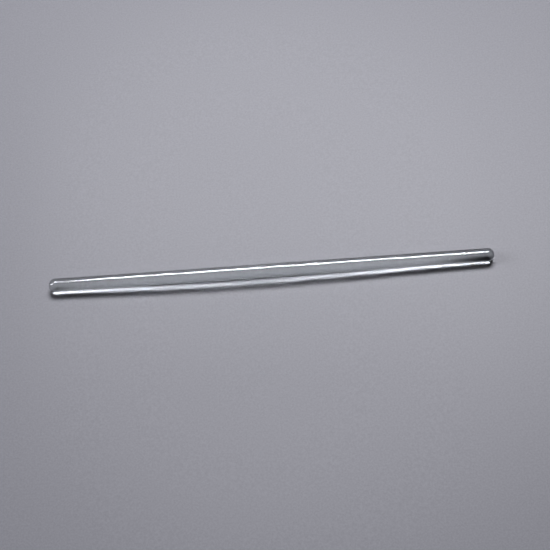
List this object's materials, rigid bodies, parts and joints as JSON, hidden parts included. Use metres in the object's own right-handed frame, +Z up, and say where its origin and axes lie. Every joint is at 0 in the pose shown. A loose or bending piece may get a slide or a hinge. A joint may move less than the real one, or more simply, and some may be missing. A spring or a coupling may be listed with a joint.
{
  "type": "glass stirring rod",
  "caption": "Straight solid rod of clear glass for stirring liquids, with both ends melted to smooth round beads.",
  "frame": {"origin": "on the rod's axis, halfway between its two tips", "axes": "+X along the rod, towards the end with the slimmer bead; +Z up from the surface that the rod lies on; the rod is round about X, so Y and Z may be swapped"},
  "size_m": [0.2, 0.0062, 0.0062],
  "materials": {
    "clear_glass": "clear solid glass, smooth as drawn along the shaft, melted smooth in a flame at both ends"
  },
  "bodies": {
    "root": {"stirring_rod": "clear_glass"}
  },
  "joints": []
}
